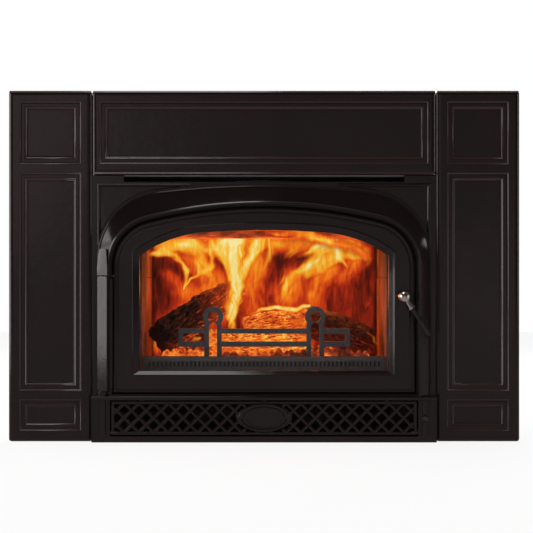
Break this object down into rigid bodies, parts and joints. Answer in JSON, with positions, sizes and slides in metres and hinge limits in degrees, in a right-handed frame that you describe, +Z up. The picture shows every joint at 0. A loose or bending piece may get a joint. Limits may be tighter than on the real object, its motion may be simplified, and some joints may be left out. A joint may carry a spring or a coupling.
{
  "type": "wood-burning fireplace insert",
  "caption": "Wood-burning fireplace insert with an arched glazed cast door, lattice base grille, cast surround panels, steel jacket and round top flue collar.",
  "frame": {"origin": "on the hearth, under the middle of the insert, in the plane of the wall that the surround closes off", "axes": "+X to the right of a person facing the insert, +Y back into the chimney breast, +Z up"},
  "size_m": [1.041, 0.4651, 0.715],
  "materials": {
    "enamel": "glossy dark brown porcelain enamel on cast iron",
    "plated_steel": "zinc-plated steel",
    "black_steel": "high-temperature matt black on steel plate",
    "galvanised": "galvanised sheet steel",
    "cast_iron": "raw cast iron",
    "stainless": "heat-tinted stainless steel",
    "firebrick": "pale firebrick",
    "fibre_board": "vermiculite board",
    "charred_wood": "charred split wood",
    "embers": "glowing charcoal",
    "ceramic_glass": "clear ceramic glass",
    "rope": "woven glass-fibre rope",
    "bronze": "sintered bronze",
    "nickel": "polished nickel",
    "black_grip": "glossy black phenolic",
    "black_plastic": "moulded black plastic"
  },
  "bodies": {
    "root": {"surround_left": "enamel", "surround_right": "enamel", "surround_header": "enamel", "front_casting": "enamel", "base_casting": "enamel", "surround_straps": "plated_steel", "side_brackets": "plated_steel", "surround_screws": "plated_steel", "latch_keeper": "plated_steel", "casting_screws": "plated_steel", "grille_pins": "plated_steel", "hinge_pins": "plated_steel", "collar_bolts": "plated_steel", "levelling_bolts": "plated_steel", "blower_screws": "plated_steel", "air_intake_box": "galvanised", "jacket": "galvanised", "base_pan": "galvanised", "partition_plate": "galvanised", "blower_housings": "galvanised", "junction_box": "galvanised", "blower_motor": "black_steel", "firebox_legs": "black_steel", "firebox_shell": "black_steel", "flue_collar": "cast_iron", "andiron": "cast_iron", "hearth_air_bar": "cast_iron", "tube_rails": "stainless", "air_tubes": "stainless", "airwash_channel": "stainless", "side_bricks_left": "firebrick", "side_bricks_right": "firebrick", "rear_bricks": "firebrick", "floor_bricks": "firebrick", "baffle_boards": "fibre_board", "log_left": "charred_wood", "log_right": "charred_wood", "log_centre": "charred_wood", "ember_bed": "embers", "power_inlet": "black_plastic", "fan_thermostat": "black_plastic"},
    "door": {"door_frame": "enamel", "glass_tape": "rope", "door_glass": "ceramic_glass", "glass_retainer": "black_steel", "retainer_screws": "plated_steel", "door_rope_gasket": "rope", "hinge_bushes": "bronze"},
    "handle": {"handle_hub": "nickel", "handle_grip": "black_grip", "latch_shaft": "plated_steel", "latch_collars": "plated_steel", "latch_cam": "plated_steel"},
    "grille": {"lower_grille": "enamel", "grille_plaque": "enamel"},
    "air_control": {"air_control_knob": "nickel", "air_control_rod": "plated_steel", "air_shutter": "galvanised"},
    "blower_rotor": {"blower_wheels": "galvanised", "blower_shaft": "plated_steel"}
  },
  "joints": [
    {"name": "door_hinge", "type": "hinge", "parent": "root", "child": "door", "pos_m": [-0.328, -0.036, 0.2205], "axis": [0, 0, -1], "range_deg": [0, 110]},
    {"name": "handle_turn", "type": "hinge", "parent": "door", "child": "handle", "pos_m": [0.283, -0.04, 0.2954], "axis": [0, -1, 0], "range_deg": [0, 90]},
    {"name": "grille_tip", "type": "hinge", "parent": "root", "child": "grille", "pos_m": [0, -0.037, 0.0198], "axis": [1, 0, 0], "range_deg": [0, 80]},
    {"name": "air_pull", "type": "slide", "parent": "root", "child": "air_control", "axis": [0, -1, 0], "range_m": [0, 0.04]},
    {"name": "blower_spin", "type": "hinge", "parent": "root", "child": "blower_rotor", "pos_m": [0, 0.062, 0.05], "axis": [1, 0, 0], "continuous": true}
  ]
}
